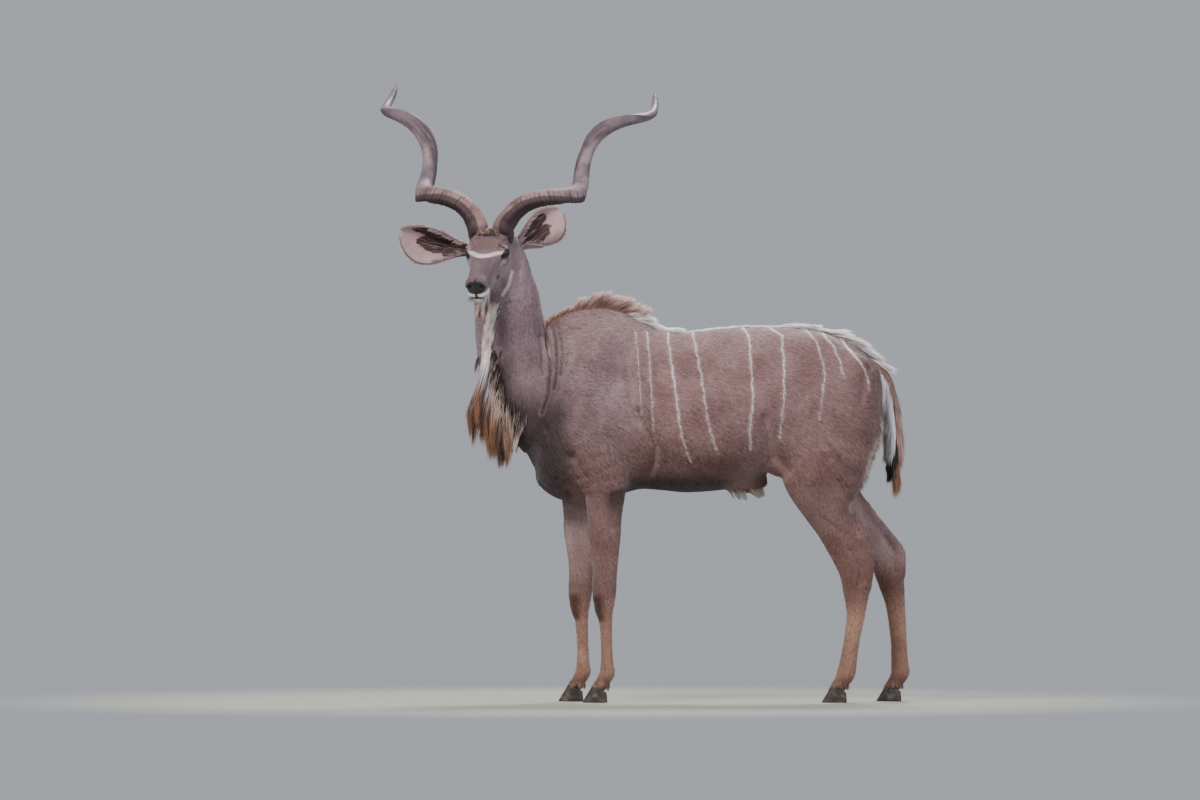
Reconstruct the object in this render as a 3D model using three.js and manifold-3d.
// A greater kudu bull at life size, standing side on with its head turned to the viewer.
// Millimetres, +Z up. The bull faces -X, its left side is towards -Y, and the hooves stand on z = 0.
// Flesh is one smooth field: a torso, limbs made of joined spheres, and muscles made of ellipsoids.
// Every node of flesh is a skin cast onto that field from its own axis, then parted by thin flat cuts.
import * as THREE from "three";
import { mergeVertices } from "three/addons/utils/BufferGeometryUtils.js";
import Module from "manifold-3d";

const wasm = await Module();
wasm.setup();

// Driving dimensions

const GAP = 0.3; // between nodes that meet
const CAST_MARGIN = 25; // how far a skin is cast past the cut that trims it
const LEG_MARGIN = 75; // the same for a leg, whose corners are cut by few rays
const SEED = 4915;

const HEAD = {
  brow: [-781, -183, 1676], // the midline of the brow, level with the eyes
  yaw: 12, // degrees that the face is turned from square on to the viewer, towards -X
  pitch: 31, // degrees that the face slopes down
};
const EYE = { at: [3, 60, -34], radius: 20.5, gaze: 34 }; // gaze: degrees forward of sideways
const HORN = {
  base: [-767, -122, 1738], // midway between the two horns' bases
  bow: [299.6, 112.1, 145.2], // out, back and up: the point that bows the spiral's axis
  tip: [511, 586.9, 540.7], // out, back and up: the far end of the axis
  start: 47.5, // from the midline to a horn's base
  coil: 63, // the spiral's radius
  coilRamp: 0.172, // share of the length over which the coil opens
  coilTaper: 0.3,
  phase: 3.616, // radians at the base, from outward towards the front
  turn: 11.68, // radians from base to tip
  turnPower: 1.306,
  keelPhase: 1.75,
  keelTurn: 9.8,
  keelPower: 1.93,
  rise: { left: 0.97, right: 1.03 }, // the right horn stands a little higher
};
const EAR = { length: 287, root: [-108, 66, -84], thick: 5 };

// Torso, section by section: x, top of the back, underline, half width.
const TORSO = [
  [-640, 1150, 930, 20],
  [-618, 1240, 880, 72],
  [-582, 1330, 810, 118],
  [-540, 1398, 772, 142],
  [-494, 1426, 752, 162],
  [-439, 1440, 741, 180],
  [-366, 1449, 742, 194],
  [-293, 1435, 757, 204],
  [-220, 1402, 776, 216],
  [-146, 1369, 773, 230],
  [-55, 1356, 765, 242],
  [55, 1366, 771, 246],
  [146, 1373, 786, 240],
  [220, 1375, 823, 230],
  [293, 1374, 856, 220],
  [400, 1367, 866, 210],
  [480, 1347, 866, 192],
  [549, 1316, 870, 166],
  [600, 1280, 886, 134],
  [640, 1238, 940, 94],
  [662, 1192, 1010, 58],
  [677, 1120, 1080, 8],
];
const TORSO_WIDEST = 0.42; // height of the widest point, as a share of the section

// Neck: x, y, z, radius, half width of each sphere.
const NECK = [
  [-748, -40, 1662, 74, 70],
  [-740, -37, 1636, 86, 82],
  [-727, -33, 1600, 97, 93],
  [-716, -28, 1540, 107, 103],
  [-707, -22, 1471, 122, 112],
  [-699, -16, 1400, 128, 117],
  [-690, -10, 1325, 133, 121],
  [-672, -5, 1250, 140, 125],
  [-645, 0, 1175, 151, 130],
  [-610, 0, 1112, 160, 138],
  [-560, 0, 1062, 165, 150],
];
// Where the neck's skin is cast from: x, z, tilt of the ring in degrees, and how far the throat's
// midline is turned towards the viewer.
const NECK_RINGS = [
  [-747, 1752, -6, 76],
  [-741, 1705, -3, 76],
  [-733, 1640, 0, 74],
  [-720, 1560, 3, 70],
  [-709, 1480, 7, 63],
  [-700, 1400, 14, 50],
  [-683, 1322, 26, 33],
  [-656, 1248, 42, 16],
  [-622, 1192, 58, 6],
  [-590, 1160, 72, 0],
  [-569, 1147, 81, 0],
  [-535, 1135, 86, 0],
];

// A left foreleg and two hind legs: x, y outwards, z, radius fore and aft, half width.
const FORELEG = [
  [-395, 150, 1215, 78, 40],
  [-415, 152, 1120, 96, 52],
  [-430, 148, 1010, 112, 62],
  [-385, 138, 890, 104, 62],
  [-351, 126, 794, 82, 54],
  [-348, 118, 739, 73, 48],
  [-349, 113, 684, 66, 44],
  [-350, 108, 630, 64, 41],
  [-348, 104, 575, 58, 38],
  [-347, 101, 520, 51, 35],
  [-348, 99, 465, 47, 34],
  [-350, 98, 410, 47, 37],
  [-351, 97, 373, 43, 35],
  [-351, 96, 337, 36, 29],
  [-346, 95, 300, 28, 23],
  [-343, 94, 245, 25, 21],
  [-341, 93, 190, 24, 21],
  [-340, 92, 140, 27, 26],
  [-340, 92, 110, 31, 30],
  [-353, 92, 82, 28, 29],
  [-369, 92, 56, 28, 30],
  [-378, 92, 36, 26, 28],
];
const FORELEG_FAR_SHIFT = -88; // the right foreleg stands this far ahead of the left one
const THIGH = [
  [540, 112, 1180, 105, 62],
  [480, 118, 1070, 165, 78],
  [462, 122, 960, 178, 84],
  [450, 126, 880, 165, 84],
];
const HINDLEG_NEAR = [
  [448, 122, 820, 140, 80],
  [452, 118, 765, 112, 72],
  [464, 114, 705, 86, 60],
  [486, 110, 648, 70, 50],
  [510, 106, 590, 61, 41],
  [532, 103, 540, 56, 37],
  [556, 101, 492, 56, 38],
  [568, 100, 455, 57, 38],
  [571, 100, 415, 53, 34],
  [571, 100, 373, 45, 30],
  [570, 100, 335, 39, 26],
  [565, 100, 295, 35, 24],
  [557, 100, 245, 33, 23],
  [548, 100, 190, 33, 23],
  [540, 100, 140, 35, 27],
  [533, 100, 108, 37, 30],
  [520, 100, 82, 32, 30],
  [505, 100, 56, 31, 31],
  [496, 100, 36, 28, 29],
];
const HOCK_NEAR = [
  [588, 103, 610, 20, 13],
  [606, 101, 545, 20, 15],
  [613, 100, 492, 25, 22],
  [603, 100, 430, 24, 22],
];
const HINDLEG_FAR = [
  [462, 118, 820, 132, 78],
  [478, 114, 765, 106, 68],
  [508, 110, 708, 82, 56],
  [552, 106, 652, 70, 46],
  [600, 103, 604, 60, 39],
  [646, 101, 560, 55, 37],
  [676, 100, 520, 56, 38],
  [692, 100, 478, 56, 37],
  [703, 100, 430, 50, 33],
  [713, 100, 380, 42, 29],
  [720, 100, 330, 37, 25],
  [725, 100, 280, 35, 24],
  [729, 100, 230, 33, 23],
  [731, 100, 185, 33, 23],
  [733, 100, 140, 35, 27],
  [735, 100, 108, 37, 30],
  [723, 100, 82, 32, 30],
  [708, 100, 56, 31, 31],
  [699, 100, 36, 28, 29],
];
const HOCK_FAR = [
  [650, 103, 660, 20, 13],
  [700, 101, 598, 20, 15],
  [731, 100, 545, 25, 22],
  [733, 100, 475, 24, 22],
];

// Muscles and bony forms of the body: centre, radii, turn about Y in degrees. y is mirrored.
const MUSCLES = [
  { at: [-335, 134, 1010], size: [104, 56, 150], turn: 24 }, // triceps
  { at: [-505, 104, 1010], size: [76, 60, 100], turn: -20 }, // point of the shoulder
  { at: [-400, 100, 1190], size: [104, 64, 170], turn: 22 }, // shoulder blade
  { at: [425, 108, 1256], size: [120, 66, 84], turn: 12 }, // hip
  { at: [560, 104, 1050], size: [92, 70, 150], turn: -14 }, // buttock
  { at: [318, 118, 940], size: [64, 62, 120], turn: 26 }, // front of the thigh
];
const MIDLINE_FORMS = [
  { at: [176, 0, 800], size: [78, 28, 34], turn: -14 }, // sheath
  { at: [566, 0, 872], size: [38, 34, 52], turn: -8 }, // scrotum
  { at: [-500, 0, 800], size: [110, 66, 62], turn: 24 }, // brisket
];

// Head in its own frame: x forward along the face, y to its left, z out of the brow.
// Section by section: x, top, underline, half width.
const SKULL = [
  [-156, -62, -104, 22],
  [-140, -36, -140, 50],
  [-115, -10, -166, 65],
  [-85, 6, -180, 73],
  [-50, 8, -187, 77],
  [-20, 4, -187, 79],
  [10, -1, -180, 75],
  [36, -5, -171, 62],
  [60, -6, -163, 54],
  [90, -7, -152, 49],
  [125, -9, -140, 45],
  [160, -11, -130, 42],
  [190, -13, -124, 40],
  [210, -14, -119, 38],
  [226, -19, -112, 33],
  [236, -31, -100, 25],
  [242, -52, -74, 6],
];
const SKULL_WIDEST = 0.66;
const FACE = [
  { at: [-4, 62, -6], size: [34, 20, 13] }, // brow over the eye
  { at: [4, 58, -62], size: [38, 19, 13] }, // cheekbone under the eye
  { at: [-38, 50, -122], size: [62, 25, 56] }, // jaw muscle
  { at: [52, 36, -86], size: [70, 20, 30] }, // side of the nose
  { at: [217, 23, -37], size: [22, 16, 19] }, // wing of the nostril
  { at: [204, 20, -80], size: [32, 17, 15] }, // upper lip
  { at: [-84, 44, 2], size: [44, 38, 26] }, // root of the horn
  { at: [-112, 62, -74], size: [34, 26, 34] }, // root of the ear
];
const FACE_MIDLINE = [
  { at: [196, 0, -108], size: [34, 26, 17] }, // chin
  { at: [228, 0, -50], size: [15, 19, 28] }, // between the nostrils
];
const MOUTH = [
  [240, 0, -88],
  [234, 16, -89],
  [218, 29, -93],
  [196, 37, -99],
  [172, 41, -105],
  [150, 42, -111],
];

// Cuts between nodes, as points that a plane passes through, with its normal.
const HEAD_CUT_BACK = { through: [-158, 0, 0], normal: [0.954, 0, 0.3] }; // head frame
const HEAD_CUT_JAW = { through: [-95, 0, -203], normal: [-0.237, 0, 0.971] }; // head frame
const NECK_CUT = { through: [-569, 0, 1153], normal: [-0.987, 0, 0.159] };
const FORE_CUTS = [
  { through: [-393, 0, 1036], normal: [0.32, 0, -0.947] }, // over the upper arm
  { through: [-540, 0, 0], normal: [1, 0, 0] },
  { through: [-240, 0, 0], normal: [-1, 0, 0] },
  { through: [0, -30, 740], normal: [0, -0.962, -0.272] }, // along the brisket
];
const HIND_CUTS = [
  { through: [256, 0, 915], normal: [0.224, 0, -0.975] }, // from the flank to under the tail
  { through: [236, 0, 0], normal: [1, 0, 0] },
  { through: [0, -20, 0], normal: [0, -1, 0] },
];
const KNEE = 352; // height of the cut under the knee
const FETLOCK = 150;
const HOCK = { near: 410, far: 425 };
const CORONET = { height: 50, slope: 24 }; // at the foot's axis, and degrees up towards the toe

const HOOF = { length: 94, width: 31, height: 66, split: 5, toeRake: 0.62 };

// Small tools

const rad = THREE.MathUtils.degToRad;
const vec = (p) => new THREE.Vector3(...p);
const other = (side) => (side < 0 ? "left" : "right");

// A seeded random draw between two limits.
let seed = SEED;
function draw(low, high) {
  seed = (seed + 0x6d2b79f5) | 0;
  let t = Math.imul(seed ^ (seed >>> 15), 1 | seed);
  t = (t + Math.imul(t ^ (t >>> 7), 61 | t)) ^ t;
  return low + (high - low) * (((t ^ (t >>> 14)) >>> 0) / 4294967296);
}

// A smooth curve through rows of numbers. Its parameter is the row's number, or the first column.
function curveThrough(rows) {
  const at = (i) => rows[Math.min(Math.max(i, 0), rows.length - 1)];
  return (t) => {
    const i = Math.min(Math.floor(t), rows.length - 2);
    const f = t - i;
    const [p0, p1, p2, p3] = [at(i - 1), at(i), at(i + 1), at(i + 2)];
    return p1.map(
      (v, k) =>
        0.5 *
        (2 * v +
          (p2[k] - p0[k]) * f +
          (2 * p0[k] - 5 * v + 4 * p2[k] - p3[k]) * f * f +
          (3 * v - p0[k] - 3 * p2[k] + p3[k]) * f * f * f),
    );
  };
}
function profile(rows) {
  const smooth = curveThrough(rows);
  return (x) => {
    let i = 0;
    while (i < rows.length - 2 && x > rows[i + 1][0]) i++;
    const f = (x - rows[i][0]) / (rows[i + 1][0] - rows[i][0]);
    return smooth(i + Math.min(Math.max(f, 0), 1));
  };
}

const smoothMin = (a, b, k) => {
  const h = Math.max(k - Math.abs(a - b), 0) / k;
  return Math.min(a, b) - (h * h * k) / 4;
};

// Fields: each takes a point and gives its distance from a surface, under zero inside.

// Sections across x that are part of two half ovals, squarer or rounder by their powers.
function sectioned(rows, widest, upperPower, lowerPower) {
  const rowAt = profile(rows);
  const [first, last] = [rows[0][0], rows[rows.length - 1][0]];
  return (p) => {
    const x = THREE.MathUtils.clamp(p.x, first, last);
    const [, top, bottom, width] = rowAt(x);
    const middle = bottom + widest * (top - bottom);
    const high = p.z > middle;
    const half = high ? top - middle : middle - bottom;
    const power = high ? upperPower(x) : lowerPower(x);
    const across = Math.abs(p.y) / width;
    const along = Math.abs(p.z - middle) / half;
    const q = (across ** power + along ** power) ** (1 / power);
    const r = Math.hypot(p.y, p.z - middle);
    const inPlane = q > 1e-6 ? r * (1 - 1 / q) : -Math.min(width, half);
    const beyond = Math.abs(p.x - x);
    return beyond > 0 ? Math.hypot(Math.max(inPlane, 0), beyond) : inPlane;
  };
}

// Spheres joined along a smooth line, each flattened sideways. side mirrors y.
function limb(rows, side = 1, shift = 0) {
  const smooth = curveThrough(rows);
  const steps = (rows.length - 1) * 3;
  const nodes = [...Array(steps + 1).keys()].map((i) => smooth(i / 3));
  nodes.forEach((n) => {
    n[0] += shift;
    n[1] *= side;
  });
  return (p) => {
    let nearest = Infinity;
    for (let i = 0; i < steps; i++) {
      const [a, b] = [nodes[i], nodes[i + 1]];
      const [dx, dy, dz] = [b[0] - a[0], b[1] - a[1], b[2] - a[2]];
      const along = (p.x - a[0]) * dx + (p.y - a[1]) * dy + (p.z - a[2]) * dz;
      const h = THREE.MathUtils.clamp(along / (dx * dx + dy * dy + dz * dz), 0, 1);
      const [qx, qy, qz] = [p.x - a[0] - h * dx, p.y - a[1] - h * dy, p.z - a[2] - h * dz];
      const r = a[3] + h * (b[3] - a[3]);
      const w = a[4] + h * (b[4] - a[4]);
      const scaled = Math.hypot(qx, (qy * r) / w, qz);
      const d = scaled > 1e-6 ? Math.hypot(qx, qy, qz) * (1 - r / scaled) : -w;
      nearest = Math.min(nearest, d);
    }
    return nearest;
  };
}

function ellipsoid({ at, size, turn = 0 }, side = 1) {
  const [c, s] = [Math.cos(rad(turn)), Math.sin(rad(turn))];
  return (p) => {
    const [x, y, z] = [p.x - at[0], p.y - at[1] * side, p.z - at[2]];
    const [u, w] = [c * x - s * z, s * x + c * z];
    const q = Math.hypot(u / size[0], y / size[1], w / size[2]);
    return q > 1e-6 ? Math.hypot(x, y, z) * (1 - 1 / q) : -Math.min(...size);
  };
}

const headForward = new THREE.Vector3(
  -Math.sin(rad(HEAD.yaw)) * Math.cos(rad(HEAD.pitch)),
  -Math.cos(rad(HEAD.yaw)) * Math.cos(rad(HEAD.pitch)),
  -Math.sin(rad(HEAD.pitch)),
);
const headLeft = new THREE.Vector3(Math.cos(rad(HEAD.yaw)), -Math.sin(rad(HEAD.yaw)), 0);
const headUp = headForward.clone().cross(headLeft);
const headPose = new THREE.Matrix4().makeBasis(headForward, headLeft, headUp).setPosition(vec(HEAD.brow));
const intoHead = headPose.clone().invert();
const onHead = (p) => vec(p).applyMatrix4(headPose);
const turnedByHead = (n) => vec(n).transformDirection(headPose);

// The withers are narrow on top and the rump is broad.
const torsoUpper = (x) => 1.55 + 0.5 * THREE.MathUtils.smoothstep(x, -340, 60);
const torso = sectioned(TORSO, TORSO_WIDEST, torsoUpper, () => 2.15);
const skullUpper = (x) => 2.9 - 0.5 * THREE.MathUtils.smoothstep(x, 60, 200);
const skull = sectioned(SKULL, SKULL_WIDEST, skullUpper, () => 1.9);
const neck = limb(NECK);
const muscles = [-1, 1].flatMap((side) => MUSCLES.map((m) => ellipsoid(m, side)));
const midlineForms = MIDLINE_FORMS.map((m) => ellipsoid(m));
const faceForms = [
  ...[-1, 1].flatMap((side) => FACE.map((m) => ellipsoid(m, side))),
  ...FACE_MIDLINE.map((m) => ellipsoid(m)),
];
const forelegs = { left: limb(FORELEG, -1), right: limb(FORELEG, 1, FORELEG_FAR_SHIFT) };
const hindlegs = {
  left: limb([...THIGH, ...HINDLEG_NEAR], -1),
  right: limb([...THIGH, ...HINDLEG_FAR], 1),
};
const hocks = { left: limb(HOCK_NEAR, -1), right: limb(HOCK_FAR, 1) };

function headField(p) {
  const q = p.clone().applyMatrix4(intoHead);
  return faceForms.reduce((d, form) => smoothMin(d, form(q), 14), skull(q));
}
function flesh(p) {
  let d = smoothMin(torso(p), neck(p), 45);
  for (const m of muscles) d = smoothMin(d, m(p), 60);
  for (const m of midlineForms) d = smoothMin(d, m(p), 26);
  for (const side of ["left", "right"]) {
    d = smoothMin(d, forelegs[side](p), 34);
    d = smoothMin(d, smoothMin(hindlegs[side](p), hocks[side](p), 18), 34);
  }
  return smoothMin(d, headField(p), 34);
}

// Meshes and solids

function solidFrom(positions, triangles) {
  const geometry = new THREE.BufferGeometry();
  geometry.setAttribute("position", new THREE.Float32BufferAttribute(positions, 3));
  geometry.setIndex(triangles);
  return solidOf(geometry);
}
function solidOf(geometry) {
  const bare = geometry.clone();
  bare.deleteAttribute("normal");
  bare.deleteAttribute("uv");
  const merged = mergeVertices(bare, 1e-4);
  const mesh = (index) =>
    new wasm.Mesh({
      numProp: 3,
      vertProperties: merged.attributes.position.array,
      triVerts: new Uint32Array(index),
    });
  const index = [...merged.index.array];
  const made = new wasm.Manifold(mesh(index));
  return made.volume() > 0 ? made : new wasm.Manifold(mesh(index.reverse()));
}
function geometryOf(solid) {
  const mesh = solid.getMesh();
  const geometry = new THREE.BufferGeometry();
  geometry.setAttribute("position", new THREE.BufferAttribute(mesh.vertProperties, 3));
  geometry.setIndex(new THREE.BufferAttribute(mesh.triVerts, 1));
  geometry.computeVertexNormals();
  return geometry;
}
const largest = (solid) =>
  solid.decompose().reduce((best, body) => (body.volume() > best.volume() ? body : best));
const joined = (solids) => solids.reduce((sum, solid) => sum.add(solid));

// A closed skin through rings of points, with a fan at each end.
function skinned(rings) {
  const sides = rings[0].length;
  const positions = rings.flat().flatMap((p) => [p.x, p.y, p.z]);
  const triangles = [];
  for (let i = 0; i + 1 < rings.length; i++)
    for (let j = 0; j < sides; j++) {
      const [a, b] = [i * sides + j, i * sides + ((j + 1) % sides)];
      triangles.push(a, b, a + sides, b, b + sides, a + sides);
    }
  for (const [ring, flip] of [[0, true], [rings.length - 1, false]]) {
    const centre = rings[ring].reduce((sum, p) => sum.clone().add(p)).multiplyScalar(1 / sides);
    const hub = positions.length / 3;
    positions.push(centre.x, centre.y, centre.z);
    for (let j = 0; j < sides; j++) {
      const [a, b] = [ring * sides + j, ring * sides + ((j + 1) % sides)];
      triangles.push(hub, flip ? b : a, flip ? a : b);
    }
  }
  return solidFrom(positions, triangles);
}

// The point where a ray from inside a field comes out of it.
function surfaceFrom(centre, direction, field) {
  const at = (r) => centre.clone().addScaledVector(direction, r);
  let inside = 0;
  let outside = 0;
  for (let value = field(centre); value < 0; value = field(at(outside))) {
    inside = outside;
    outside += Math.max(-value * 0.7, 2);
  }
  if (outside === 0) return at(1);
  for (let i = 0; i < 14; i++) {
    const middle = (inside + outside) / 2;
    if (field(at(middle)) < 0) inside = middle;
    else outside = middle;
  }
  return at(outside);
}

// A skin cast onto a field from rings of rays. A station has a centre and two directions.
function cast(stations, sides, field) {
  const rings = stations.map(({ centre, u, v }) =>
    [...Array(sides).keys()].map((j) => {
      const a = ((j + 0.5) / sides) * 2 * Math.PI;
      const ray = u.clone().multiplyScalar(Math.cos(a)).addScaledVector(v, Math.sin(a));
      return surfaceFrom(centre, ray, field);
    }),
  );
  return skinned(rings);
}

// Cuts

const planeOf = ({ through, normal }) => {
  const n = vec(normal).normalize();
  return { n, offset: n.dot(vec(through)) };
};
const mirrored = (cut, side) => ({
  through: [cut.through[0], -cut.through[1] * side, cut.through[2]],
  normal: [cut.normal[0], -cut.normal[1] * side, cut.normal[2]],
});
const kept = (solid, planes, grow) =>
  planes.reduce((rest, { n, offset }) => rest.trimByPlane(n.toArray(), offset - grow), solid);
const bigBlock = solidOf(new THREE.BoxGeometry(6000, 6000, 6000));
const territory = (planes, grow) => kept(bigBlock, planes, grow);
// Distance inside a territory, positive in it.
const depthIn = (planes, p) => Math.min(...planes.map(({ n, offset }) => n.dot(p) - offset));
// A field clipped to a margin round its own territory, and kept out of its neighbours'.
const clipped = (field, own, neighbours, margin = CAST_MARGIN) => (p) =>
  Math.max(
    field(p),
    own ? -depthIn(own, p) - margin : -Infinity,
    ...neighbours.map((planes) => depthIn(planes, p) - margin),
  );

const headPlanes = [HEAD_CUT_BACK, HEAD_CUT_JAW].map(({ through, normal }) => {
  const n = turnedByHead(normal).normalize();
  return { n, offset: n.dot(onHead(through)) };
});
const neckPlane = planeOf(NECK_CUT);
const forePlanes = { left: FORE_CUTS.map(planeOf) };
forePlanes.right = FORE_CUTS.map((cut) => {
  const far = mirrored(cut, 1);
  far.through[0] += FORELEG_FAR_SHIFT * 0.5;
  return planeOf(far);
});
const hindPlanes = {
  left: HIND_CUTS.map(planeOf),
  right: HIND_CUTS.map((cut) => planeOf(mirrored(cut, 1))),
};
const legPlanes = [...Object.values(forePlanes), ...Object.values(hindPlanes)];

// Locks: flat, tapered, bent tufts of hair, each ending in a point

function lock({ root, lie, bend, across, length, width, thick }) {
  const steps = 3;
  const rings = [];
  const flat = across.clone().normalize();
  for (let i = 0; i < steps; i++) {
    const t = i / steps;
    const middle = root.clone().addScaledVector(lie, length * t).addScaledVector(bend, length * t * t);
    const along = lie.clone().addScaledVector(bend, 2 * t).normalize();
    const up = along.clone().cross(flat).normalize();
    const swell = (0.62 + 0.9 * t) * (1 - t ** 2.2);
    const [w, h] = [(width / 2) * swell, (thick / 2) * (1 - 0.55 * t)];
    rings.push([
      middle.clone().addScaledVector(flat, w),
      middle.clone().addScaledVector(up, h),
      middle.clone().addScaledVector(flat, -w),
      middle.clone().addScaledVector(up, -h),
    ]);
  }
  const tip = root.clone().addScaledVector(lie, length).addScaledVector(bend, length);
  rings.push(rings[0].map((_, j) => tip.clone().lerp(rings[steps - 1][j], 0.02)));
  return skinned(rings);
}

const DOWN = new THREE.Vector3(0, 0, -1);
const UP = new THREE.Vector3(0, 0, 1);
const REAR = new THREE.Vector3(1, 0, 0);
const LATERAL = new THREE.Vector3(0, 1, 0);

// Torso with its crest of hair

const torsoAt = profile(TORSO);
function torsoStations() {
  const stations = [];
  for (const [x, z, tilt] of [[-596, 1120, 80], [-575, 1112, 81], [-538, 1100, 86], [-500, 1095, 89]])
    stations.push({ centre: vec([x, 0, z]), u: ringDown(tilt), v: LATERAL.clone() });
  const [from, to, count] = [-466, 676, 24];
  for (let i = 0; i < count; i++) {
    // Closer together towards the rump, where the section shrinks.
    const x = from + (to - from) * Math.sin(((i + 1) / count) * 1.45) / Math.sin(1.45);
    const [, top, bottom] = torsoAt(x);
    stations.push({ centre: vec([x, 0, bottom + 0.5 * (top - bottom)]), u: DOWN.clone(), v: LATERAL.clone() });
  }
  return stations;
}
function ringDown(tilt) {
  return new THREE.Vector3(-Math.cos(rad(tilt)), 0, -Math.sin(rad(tilt)));
}

const TORSO_FLOOR = 62; // the torso's skin is cast this far below the underline, into the legs
const torsoField = clipped(
  (p) => Math.max(flesh(p), torsoAt(THREE.MathUtils.clamp(p.x, -640, 677))[2] - TORSO_FLOOR - p.z),
  null,
  [[neckPlane]],
);
const torsoBare = cast(torsoStations(), 28, torsoField);
const torsoGrown = cast(torsoStations(), 28, (p) => torsoField(p) - GAP * 1.3);

// The crest: from x, to x, count, length, angle of the hair above the back, width.
const CREST = [
  { from: -522, to: -452, count: 4, length: 46, rise: 46, width: 46 },
  { from: -446, to: -232, count: 10, length: 74, rise: 50, width: 60 },
  { from: -222, to: -120, count: 5, length: 72, rise: 28, width: 50 },
  { from: -100, to: 240, count: 5, length: 88, rise: 9, width: 34 },
  { from: 275, to: 575, count: 9, length: 84, rise: 16, width: 36 },
];
function crestLocks() {
  return CREST.flatMap(({ from, to, count, length, rise, width }) =>
    [...Array(count).keys()].map((i) => {
      const x = from + ((to - from) * (i + 0.5)) / count;
      const y = (i % 2 ? 1 : -1) * draw(4, 9);
      const skin = surfaceFrom(vec([x, y, torsoAt(x)[1] - 120]), UP, flesh);
      const ahead = surfaceFrom(vec([x + 20, y, torsoAt(x + 20)[1] - 120]), UP, flesh);
      const back = ahead.sub(skin).normalize();
      const turn = new THREE.Quaternion().setFromAxisAngle(LATERAL, -rad(rise + draw(-5, 5)));
      const lie = back.applyQuaternion(turn);
      return lock({
        root: skin.clone().addScaledVector(lie, -20).addScaledVector(UP, -4),
        lie,
        bend: REAR.clone().multiplyScalar(0.2).addScaledVector(LATERAL, draw(-0.05, 0.05)),
        across: rise > 30 ? REAR.clone().addScaledVector(UP, -0.3) : LATERAL.clone(),
        length: length * draw(0.9, 1.1) + 12,
        width: width * draw(0.85, 1.1),
        thick: 13,
      });
    }),
  );
}
const SHEATH_TUFT = { x: 200, z: 806, count: 5, length: 58 };
function sheathLocks() {
  return [...Array(SHEATH_TUFT.count).keys()].map((i) =>
    lock({
      root: vec([SHEATH_TUFT.x + 9 * i, (i % 2 ? 1 : -1) * 6, SHEATH_TUFT.z + 5 * i]),
      lie: new THREE.Vector3(0.32 + 0.08 * i, draw(-0.1, 0.1), -0.9).normalize(),
      bend: REAR.clone().multiplyScalar(0.15),
      across: LATERAL.clone(),
      length: SHEATH_TUFT.length * draw(0.85, 1.1),
      width: 22,
      thick: 10,
    }),
  );
}
// The rays pass by the narrow forms under the belly, so these are joined on whole.
function hangingForm({ at, size, turn }) {
  const geometry = new THREE.SphereGeometry(1, 10, 8);
  return solidOf(geometry.scale(...size).rotateY(rad(-turn)).translate(...at));
}
function torsoSolid() {
  const hanging = MIDLINE_FORMS.slice(0, 2).map(hangingForm);
  let made = joined([torsoBare, ...hanging, ...crestLocks(), ...sheathLocks()]);
  made = made.subtract(territory([neckPlane], GAP / 2));
  for (const planes of legPlanes) made = made.subtract(territory(planes, GAP / 2));
  return largest(made);
}

// Neck with its nape mane and throat fringe

const neckRing = curveThrough(NECK_RINGS);
function neckStation(t) {
  const [x, z, tilt, turned] = neckRing(t);
  const y = [...NECK].reduce((a, b) => (Math.abs(b[2] - z) < Math.abs(a[2] - z) ? b : a))[1];
  return { centre: vec([x, z > 1150 ? y : 0, z]), u: ringDown(tilt), v: LATERAL.clone(), turned };
}
const neckField = clipped(flesh, [neckPlane], [headPlanes]);
function neckSkin(field) {
  const count = 16;
  const last = NECK_RINGS.length - 1;
  const stations = [...Array(count).keys()].map((i) => neckStation((i / (count - 1)) * last));
  return cast(stations, 22, field);
}
// A point on the neck's midline: 1 is the throat's side, -1 the nape's, and spread steps sideways.
function neckMidline(t, way, spread = 0) {
  const { centre, u, v, turned } = neckStation(t);
  const angle = rad(turned) + spread;
  const ray = u.multiplyScalar(Math.cos(angle) * way).addScaledVector(v, -Math.sin(angle) * way);
  return { skin: surfaceFrom(centre, ray, neckField), out: ray };
}
// The fringe: ring numbers from and to, count, length of hair, width of a lock.
const FRINGE = [
  { from: 2.6, to: 4.4, count: 8, length: 84, width: 48, spread: 0.1 },
  { from: 4.4, to: 6.2, count: 11, length: 152, width: 66, spread: 0.13 },
  { from: 6.2, to: 7.9, count: 11, length: 170, width: 74, spread: 0.16 },
  { from: 7.9, to: 8.9, count: 5, length: 108, width: 60, spread: 0.12 },
];
function fringeLocks() {
  return FRINGE.flatMap(({ from, to, count, length, width, spread }) =>
    [...Array(count).keys()].map((i) => {
      const t = from + ((to - from) * (i + 0.5)) / count;
      const { skin, out } = neckMidline(t, 1, ((i % 3) - 1) * spread);
      const lie = out.clone().multiplyScalar(0.6).addScaledVector(DOWN, 0.8).normalize();
      return lock({
        root: skin.clone().addScaledVector(out, -15).addScaledVector(UP, 12),
        lie,
        bend: DOWN.clone().multiplyScalar(0.2).addScaledVector(out, -0.24),
        across: out.clone().addScaledVector(out.clone().cross(UP), ((i % 3) - 1) * 0.65),
        length: length * draw(0.86, 1.08) + 18,
        width: width * draw(0.9, 1.1),
        thick: 16,
      });
    }),
  );
}
const MANE = { from: 1.2, to: 8.6, count: 11, length: 46, width: 42 };
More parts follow.
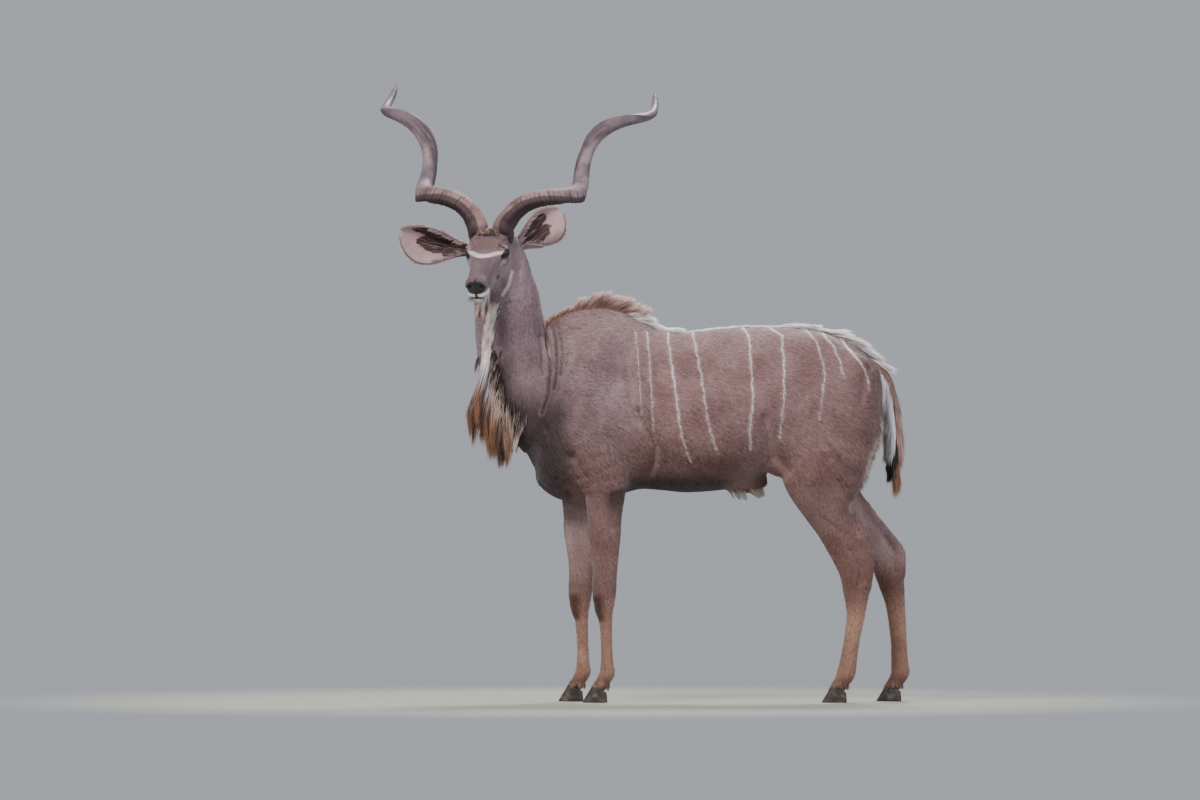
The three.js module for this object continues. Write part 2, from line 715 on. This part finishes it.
function maneLocks() {
  return [...Array(MANE.count).keys()].map((i) => {
    const t = MANE.from + ((MANE.to - MANE.from) * (i + 0.5)) / MANE.count;
    const { skin, out } = neckMidline(t, -1, (i % 2 ? 1 : -1) * 0.04);
    const down = neckMidline(t + 0.3, -1).skin.sub(skin).normalize();
    return lock({
      root: skin.clone().addScaledVector(out, -14),
      lie: out.clone().multiplyScalar(0.55).addScaledVector(down, 0.83).normalize(),
      bend: down.clone().multiplyScalar(0.2),
      across: out.clone().cross(down),
      length: MANE.length * draw(0.9, 1.15) + 16,
      width: MANE.width,
      thick: 12,
    });
  });
}
function neckSolid() {
  let made = joined([neckSkin(neckField), ...fringeLocks(), ...maneLocks()]);
  made = kept(made, [neckPlane], -GAP / 2);
  return largest(made.subtract(territory(headPlanes, GAP / 2)));
}

// Head

const skullAt = profile(SKULL);
function headStations() {
  const [from, to, count] = [-152, 241, 23];
  return [...Array(count).keys()].map((i) => {
    // Closer together at both ends, where the head rounds off.
    const s = i / (count - 1);
    const x = from + (to - from) * (s - 0.085 * Math.sin(2 * Math.PI * s));
    const [, top, bottom] = skullAt(x);
    return {
      centre: onHead([x, 0, bottom + 0.52 * (top - bottom)]),
      u: headUp.clone().negate(),
      v: headLeft.clone(),
    };
  });
}
const headClip = clipped(flesh, headPlanes, []);

// A round tube through points, closed at both ends.
function tube(points, radius, sides, steps) {
  const path = new THREE.CatmullRomCurve3(points);
  const frames = path.computeFrenetFrames(steps);
  const rings = [...Array(steps + 1).keys()].map((i) => {
    const centre = path.getPointAt(i / steps);
    return [...Array(sides).keys()].map((j) => {
      const a = (j / sides) * 2 * Math.PI;
      return centre
        .clone()
        .addScaledVector(frames.normals[i], radius * Math.cos(a))
        .addScaledVector(frames.binormals[i], radius * Math.sin(a));
    });
  });
  return skinned(rings);
}
function ball(centre, radii, detail = 12) {
  const geometry = new THREE.SphereGeometry(1, detail, Math.round(detail * 0.66));
  const place = new THREE.Matrix4().makeScale(...radii).setPosition(vec(centre));
  return solidOf(geometry.applyMatrix4(headPose.clone().multiply(place)));
}
// A lid is a tube that arches over the eyeball from its rear corner to its front one.
const LID = { span: 60, upper: 27, lower: -22, droop: 7, thick: 4.6 };
function lid(side, lift) {
  const [sin, cos] = [Math.sin(rad(EYE.gaze)), Math.cos(rad(EYE.gaze))];
  const points = [...Array(7).keys()].map((i) => {
    const s = (i / 6) * 2 - 1;
    const turn = rad(LID.span * s);
    const rise = rad(lift * (1 - s * s) - LID.droop * s);
    const [ahead, out] = [Math.sin(turn) * Math.cos(rise), Math.cos(turn) * Math.cos(rise)];
    const reach = EYE.radius + 1;
    return onHead([
      EYE.at[0] + reach * (out * sin + ahead * cos),
      side * (EYE.at[1] + reach * (out * cos - ahead * sin)),
      EYE.at[2] + reach * Math.sin(rise),
    ]);
  });
  return tube(points, LID.thick, 5, 7);
}
const NOSTRIL = { at: [232, 24, -42], size: [17, 7, 12] };
const CHIN_TUFT = { from: 118, to: 196, count: 7, length: 72 };
function chinLocks() {
  return [...Array(CHIN_TUFT.count).keys()].map((i) => {
    const x = CHIN_TUFT.from + ((CHIN_TUFT.to - CHIN_TUFT.from) * (i + 0.5)) / CHIN_TUFT.count;
    const bottom = skullAt(x)[2];
    return lock({
      root: onHead([x, ((i % 3) - 1) * 15, bottom + 18]),
      lie: new THREE.Vector3(0.03, 0.3, -0.95).normalize(),
      bend: new THREE.Vector3(draw(-0.06, 0.06), 0.16, 0),
      across: i % 2 ? headLeft.clone() : headForward.clone(),
      length: CHIN_TUFT.length * draw(0.85, 1.1),
      width: 34,
      thick: 12,
    });
  });
}
function headSolid() {
  let made = cast(headStations(), 24, headClip);
  for (const side of [-1, 1]) {
    const [x, y, z] = EYE.at;
    made = made.add(lid(side, LID.upper)).add(lid(side, -LID.lower));
    const socket = EYE.radius + GAP;
    made = made.subtract(ball([x, side * y, z], [socket, socket, socket], 14));
    const [nx, ny, nz] = NOSTRIL.at;
    made = made.subtract(ball([nx, side * ny, nz], NOSTRIL.size, 8));
    made = made.subtract(tube(MOUTH.map(([a, b, c]) => onHead([a, side * b, c])), 2.6, 4, 9));
  }
  made = kept(made, headPlanes, -GAP / 2);
  return largest(made.add(joined(chinLocks())));
}

// Horns: a tapering spiral with a keel that winds round it

const HORN_GIRTH = [
  [-0.04, 42],
  [0.02, 40],
  [0.1, 34],
  [0.25, 30.5],
  [0.5, 28],
  [0.65, 23],
  [0.8, 17],
  [0.92, 10.5],
  [1, 3.5],
];
const HORN_KEEL = { height: 0.3, width: 0.42 };
function hornFrame(t) {
  const [start, bow, tip] = [vec([HORN.start, 0, 0]), vec(HORN.bow), vec(HORN.tip)];
  const axis = new THREE.QuadraticBezierCurve3(start, bow, tip);
  const s = Math.max(t, 0);
  const along = axis.getTangent(s);
  const front = new THREE.Vector3(0, -1, 0);
  front.addScaledVector(along, -front.dot(along)).normalize();
  const outward = along.clone().cross(front).normalize();
  if (outward.x < 0) outward.negate();
  const radius = HORN.coil * (1 - Math.exp(-s / HORN.coilRamp)) * (1 - HORN.coilTaper * s);
  const phase = HORN.phase - HORN.turn * s ** HORN.turnPower;
  const centre = axis.getPoint(s);
  centre.addScaledVector(outward, radius * Math.cos(phase)).addScaledVector(front, radius * Math.sin(phase));
  if (t < 0) centre.add(new THREE.Vector3(0, -t * 520, t * 780)); // sunk into the brow
  return { centre, outward, front };
}
// From out, back and up of a left horn to the bull's own frame.
function hornPlace(p, side) {
  const [sin, cos] = [Math.sin(rad(HEAD.yaw)), Math.cos(rad(HEAD.yaw))];
  const rise = HORN.rise[other(-side)];
  const out = p.x * side;
  return new THREE.Vector3(out * cos + p.y * sin, p.y * cos - out * sin, p.z * rise).add(vec(HORN.base));
}
function horn(side) {
  const [sides, steps, sunk] = [8, 44, -0.045];
  const girth = profile(HORN_GIRTH);
  const rings = [...Array(steps + 1).keys()].map((i) => {
    const t = sunk + (1 - sunk) * (i / steps);
    const { centre, outward, front } = hornFrame(t);
    const ahead = hornFrame(Math.min(t + 0.004, 1)).centre;
    const behind = hornFrame(t - 0.004).centre;
    const along = ahead.sub(behind).normalize();
    const keel = HORN.keelPhase - HORN.keelTurn * Math.max(t, 0) ** HORN.keelPower;
    const ridge = outward.multiplyScalar(Math.cos(keel)).addScaledVector(front, Math.sin(keel));
    ridge.addScaledVector(along, -ridge.dot(along)).normalize();
    const beside = along.clone().cross(ridge);
    const radius = girth(t)[1];
    return [...Array(sides).keys()].map((j) => {
      const a = (j / sides) * 2 * Math.PI;
      const off = Math.min(a, 2 * Math.PI - a) / HORN_KEEL.width;
      const r = radius * (0.96 + HORN_KEEL.height * Math.exp(-off * off));
      const p = centre.clone().addScaledVector(ridge, r * Math.cos(a)).addScaledVector(beside, r * Math.sin(a));
      return hornPlace(p, side);
    });
  });
  return skinned(rings);
}

// Ears: a cup of two skins, rolled nearly shut at the root and open at the tip

// Along the ear: share of length, half width, half angle of the roll in degrees.
const EAR_FORM = [
  [0, 25, 150],
  [0.12, 27, 140],
  [0.25, 38, 118],
  [0.4, 57, 92],
  [0.55, 70, 74],
  [0.7, 73, 62],
  [0.84, 60, 54],
  [0.94, 38, 46],
  [1, 12, 40],
];
// Each ear's axis and the way its cup opens, with the share of width above and below the axis.
const EAR_SET = {
  right: { axis: [-281, 20, 66], opens: [-0.1, -1, -0.12], above: 0.5, below: 1.42 },
  left: { axis: [172, 154, 110], opens: [0.16, -1, 0.25], above: 0.68, below: 1.4 },
};
function ear(side) {
  const { axis, opens, above, below } = EAR_SET[other(-side)];
  const along = vec(axis).normalize();
  const open = vec(opens).normalize();
  open.addScaledVector(along, -open.dot(along)).normalize();
  const upper = open.clone().cross(along).normalize();
  if (upper.z < 0) upper.negate();
  const root = onHead([EAR.root[0], side * EAR.root[1], EAR.root[2]]);
  const form = profile(EAR_FORM);
  const [steps, arc] = [10, 7];
  const outer = [];
  const inner = [];
  for (let i = 0; i <= steps; i++) {
    const s = i / steps;
    const [, half, roll] = form(s);
    const angle = rad(roll);
    const radius = half / Math.sin(Math.min(angle, Math.PI / 2));
    const thick = EAR.thick * (1 - 0.45 * s);
    const centre = root.clone().addScaledVector(along, s * EAR.length);
    for (let j = 0; j <= arc; j++) {
      const a = angle * ((j / arc) * 2 - 1);
      const stretch = a > 0 ? above : below;
      for (const [list, r] of [[outer, radius], [inner, radius - thick]]) {
        const p = centre.clone().addScaledVector(upper, r * Math.sin(a) * stretch);
        p.addScaledVector(open, radius * Math.cos(Math.min(angle, Math.PI / 2)) - r * Math.cos(a));
        list.push(p);
      }
    }
  }
  const row = arc + 1;
  const skin = [...outer, ...inner].flatMap((p) => [p.x, p.y, p.z]);
  const shift = outer.length;
  const triangles = [];
  const quad = (a, b, c, d) => triangles.push(a, b, c, a, c, d);
  for (let i = 0; i < steps; i++) {
    for (let j = 0; j < arc; j++) {
      const [a, b, c, d] = [i * row + j, i * row + j + 1, (i + 1) * row + j + 1, (i + 1) * row + j];
      triangles.push(a, b, c, a, c, d);
      triangles.push(shift + a, shift + c, shift + b, shift + a, shift + d, shift + c);
    }
    for (const [j, flip] of [[0, false], [arc, true]]) {
      const [a, b] = [i * row + j, (i + 1) * row + j];
      if (flip) quad(a, a + shift, b + shift, b);
      else quad(a, b, b + shift, a + shift);
    }
  }
  for (let j = 0; j < arc; j++) {
    quad(j, j + shift, j + 1 + shift, j + 1);
    const end = steps * row + j;
    quad(end, end + 1, end + 1 + shift, end + shift);
  }
  return solidFrom(skin, triangles);
}

// Legs

// Rings down a leg, level, from heights and the limb's own line.
// The rings tilt to lie along the cut that parts the leg from the body.
function legStations(rows, side, shift, tilt, heights) {
  const line = curveThrough(rows);
  return heights.map((z) => {
    let t = 0;
    while (t < rows.length - 1 && line(t)[2] > z) t += 0.02;
    const [x, y] = line(t);
    const turn = rad(tilt) * THREE.MathUtils.smoothstep(z, 700, 980);
    const u = new THREE.Vector3(Math.cos(turn), 0, Math.sin(turn));
    return { centre: vec([x + shift, y * side, z]), u, v: LATERAL.clone() };
  });
}
const evenly = (from, to, count) => [...Array(count).keys()].map((i) => from + ((to - from) * i) / (count - 1));
const FOOT_AXIS = { fore: -372, hindNear: 503, hindFar: 706 }; // x where the foot's axis meets the hoof
function coronetPlane(x) {
  const slope = rad(CORONET.slope);
  return planeOf({ through: [x, 0, CORONET.height], normal: [Math.sin(slope), 0, Math.cos(slope)] });
}
const DEWCLAW = { back: 27, apart: 14, height: 94, size: [11, 10, 15] };
function dewclaw(x, y) {
  const geometry = new THREE.SphereGeometry(1, 6, 5);
  geometry.scale(...DEWCLAW.size).rotateY(rad(-24)).translate(x, y, DEWCLAW.height);
  return solidOf(geometry);
}
// One leg, parted under the knee or hock and above the fetlock, with the foot trimmed at the hoof.
function legNodes(name, high, low, planes, upperCut, footX, pastern) {
  const level = (z) => ({ n: UP.clone(), offset: z });
  const below = (z) => ({ n: DOWN.clone(), offset: -z });
  const upper = kept(high, [...planes, level(upperCut)], -GAP / 2);
  const cannon = kept(low, [below(upperCut), level(FETLOCK)], -GAP / 2);
  const claws = [-1, 1].map((way) => dewclaw(pastern[0] + DEWCLAW.back, pastern[1] + way * DEWCLAW.apart));
  const footWhole = joined([kept(low, [below(FETLOCK)], -GAP / 2), ...claws]);
  const foot = kept(footWhole, [coronetPlane(footX)], -GAP / 2);
  return [
    [name + "_upper", largest(upper)],
    [name + "_cannon", largest(cannon)],
    [name + "_foot", largest(foot)],
  ];
}
function foreleg(side) {
  const label = other(side);
  const shift = side < 0 ? 0 : FORELEG_FAR_SHIFT;
  const planes = forePlanes[label];
  const field = clipped(flesh, planes, [], LEG_MARGIN);
  const down = (heights) => legStations(FORELEG, side, shift, 18.7, heights);
  const high = cast(down([1062, ...evenly(1024, 340, 17)]), 16, field);
  const low = cast(down([365, 337, 305, 250, 190, 150, 130, 106, 80, 56, 34]), 10, field);
  const pastern = [-340 + shift, 92 * side];
  return legNodes("foreleg_" + label, high, low, planes, KNEE, FOOT_AXIS.fore + shift, pastern);
}
function hindleg(side) {
  const label = other(side);
  const rows = [...THIGH, ...(side < 0 ? HINDLEG_NEAR : HINDLEG_FAR)];
  const planes = hindPlanes[label];
  const field = clipped(flesh, planes, [], LEG_MARGIN);
  const down = (heights) => legStations(rows, side, 0, 12.9, heights);
  const footX = side < 0 ? FOOT_AXIS.hindNear : FOOT_AXIS.hindFar;
  const cut = side < 0 ? HOCK.near : HOCK.far;
  const high = cast(down([1010, ...evenly(960, 398, 16)]), 16, field);
  const low = cast(down([438, 410, 370, 310, 240, 180, 150, 130, 104, 80, 56, 34]), 10, field);
  return legNodes("hindleg_" + label, high, low, planes, cut, footX, [footX + 30, 100 * side]);
}

// A claw: flat sole and inner wall, rounded outer wall, raked toe. x is the foot's axis.
function claw(x, y, way) {
  const [sides, steps] = [10, 4];
  const rings = [...Array(steps + 1).keys()].map((i) => {
    const z = (HOOF.height * i) / steps;
    const toe = HOOF.length * 0.64 - z * HOOF.toeRake;
    const heel = HOOF.length * 0.36 - z * 0.1;
    return [...Array(sides).keys()].map((j) => {
      const a = ((j + 0.5) / sides) * 2 * Math.PI;
      const forward = (toe + heel) / 2 * Math.cos(a) + (toe - heel) / 2;
      const taper = 1 - 0.42 * Math.max(Math.cos(a), 0) ** 2 - 0.06 * (z / HOOF.height);
      const bulge = Math.sign(Math.sin(a)) * Math.abs(Math.sin(a)) ** 0.75 * (HOOF.width / 2) * taper;
      const inward = Math.max(bulge, -HOOF.width * 0.44);
      return vec([x - forward, y + way * (HOOF.width / 2 + HOOF.split / 2 + inward), z]);
    });
  });
  const { n, offset } = coronetPlane(x);
  return skinned(rings).trimByPlane(n.clone().negate().toArray(), -offset + GAP / 2);
}
function clawNodes(name, x, y) {
  return [
    [name + "_claw_left", claw(x, y, -1)],
    [name + "_claw_right", claw(x, y, 1)],
  ];
}

// Tail with its locks

const TAIL = [
  [622, 0, 1238, 26, 26],
  [652, 0, 1214, 27, 30],
  [684, 0, 1168, 25, 31],
  [702, 0, 1100, 23, 30],
  [708, 0, 1020, 22, 29],
  [707, 0, 940, 20, 27],
  [705, 0, 880, 16, 21],
  [704, 0, 850, 9, 12],
];
const TAIL_LOCKS = { count: 17, length: 88, width: 38 };
function tailSolid() {
  const field = limb(TAIL);
  const line = curveThrough(TAIL);
  const stations = [...Array(12).keys()].map((i) => {
    const t = (i / 11) * (TAIL.length - 1.02);
    const [x, , z] = line(t);
    const [nx, , nz] = line(t + 0.02);
    const along = new THREE.Vector3(nx - x, 0, nz - z).normalize();
    return { centre: vec([x, 0, z]), u: along.clone().cross(LATERAL), v: LATERAL.clone() };
  });
  const locks = [...Array(TAIL_LOCKS.count).keys()].map((i) => {
    const s = (i + 0.5) / TAIL_LOCKS.count;
    const t = 1.7 + s * (TAIL.length - 2.9);
    const [x, , z, r, w] = line(t);
    // Round the back and sides of the tail, and all round it near the end.
    const angle = (s > 0.7 ? 1.9 : 1.25) * (((i * 0.618) % 1) * 2 - 1);
    const out = new THREE.Vector3(Math.cos(angle), Math.sin(angle), 0);
    const root = vec([x + r * 0.45 * out.x, w * 0.45 * out.y, z + 14]);
    return lock({
      root,
      lie: out.clone().multiplyScalar(0.26).addScaledVector(DOWN, 0.96).normalize(),
      bend: out.clone().multiplyScalar(-0.16),
      across: out.clone().cross(UP),
      length: TAIL_LOCKS.length * draw(0.9, 1.1) * (1 + 0.45 * s),
      width: TAIL_LOCKS.width,
      thick: 13,
    });
  });
  const made = joined([cast(stations, 12, field), ...locks]);
  return largest(made.subtract(torsoGrown));
}

// The model

const MATERIALS = {
  coat: { color: 0x7d6a62, roughness: 0.85 },
  neck: { color: 0x6d5f5b, roughness: 0.85 },
  face: { color: 0x75655f, roughness: 0.8 },
  legs: { color: 0x8b6450, roughness: 0.8 },
  hoof: { color: 0x2a2422, roughness: 0.45 },
  horn: { color: 0x6f5a4e, roughness: 0.5 },
  ear: { color: 0x8f7a75, roughness: 0.8 },
  eye: { color: 0x120c0a, roughness: 0.08 },
  tail: { color: 0x8c7265, roughness: 0.85 },
};
const finishes = Object.fromEntries(
  Object.entries(MATERIALS).map(([name, look]) => [
    name,
    new THREE.MeshStandardMaterial({ ...look, metalness: 0 }),
  ]),
);
const kudu = new THREE.Group();
function place(name, solid, finish) {
  const mesh = new THREE.Mesh(geometryOf(solid), finishes[finish]);
  mesh.name = name;
  kudu.add(mesh);
}

const head = headSolid();
const headGrown = cast(headStations(), 24, (p) => headClip(p) - GAP * 1.3);
const neckGrown = neckSkin((p) => neckField(p) - GAP * 1.3);
const clearOfFlesh = (solid) => largest(solid.subtract(headGrown).subtract(neckGrown));
const ownHalf = (face) => {
  const n = headLeft.clone().multiplyScalar(face);
  return { n, offset: n.dot(vec(HORN.base)) + 3 };
};
place("head", head, "face");
place("neck", neckSolid(), "neck");
place("torso", torsoSolid(), "coat");
place("tail", tailSolid(), "tail");
for (const side of [-1, 1]) {
  const label = other(side);
  // The head's own left is the bull's left once the face is turned, so +y in the head frame.
  const face = -side;
  place("eye_" + label, ball([EYE.at[0], face * EYE.at[1], EYE.at[2]], Array(3).fill(EYE.radius), 14), "eye");
  place("horn_" + label, clearOfFlesh(kept(horn(face), [ownHalf(face)], 0)), "horn");
  place("ear_" + label, clearOfFlesh(ear(face)), "ear");
  for (const [name, solid] of [...foreleg(side), ...hindleg(side)]) place(name, solid, "legs");
  const foreX = FOOT_AXIS.fore + (side < 0 ? 0 : FORELEG_FAR_SHIFT);
  const hindX = side < 0 ? FOOT_AXIS.hindNear : FOOT_AXIS.hindFar;
  const claws = [
    ...clawNodes("foreleg_" + label, foreX, 92 * side),
    ...clawNodes("hindleg_" + label, hindX, 100 * side),
  ];
  for (const [name, solid] of claws) place(name, solid, "hoof");
}

// The origin is on the floor, under the middle of the model's own box.
const box = new THREE.Box3().setFromObject(kudu);
const middle = box.getCenter(new THREE.Vector3());
kudu.position.set(-middle.x, -middle.y, -box.min.z);

export default kudu;
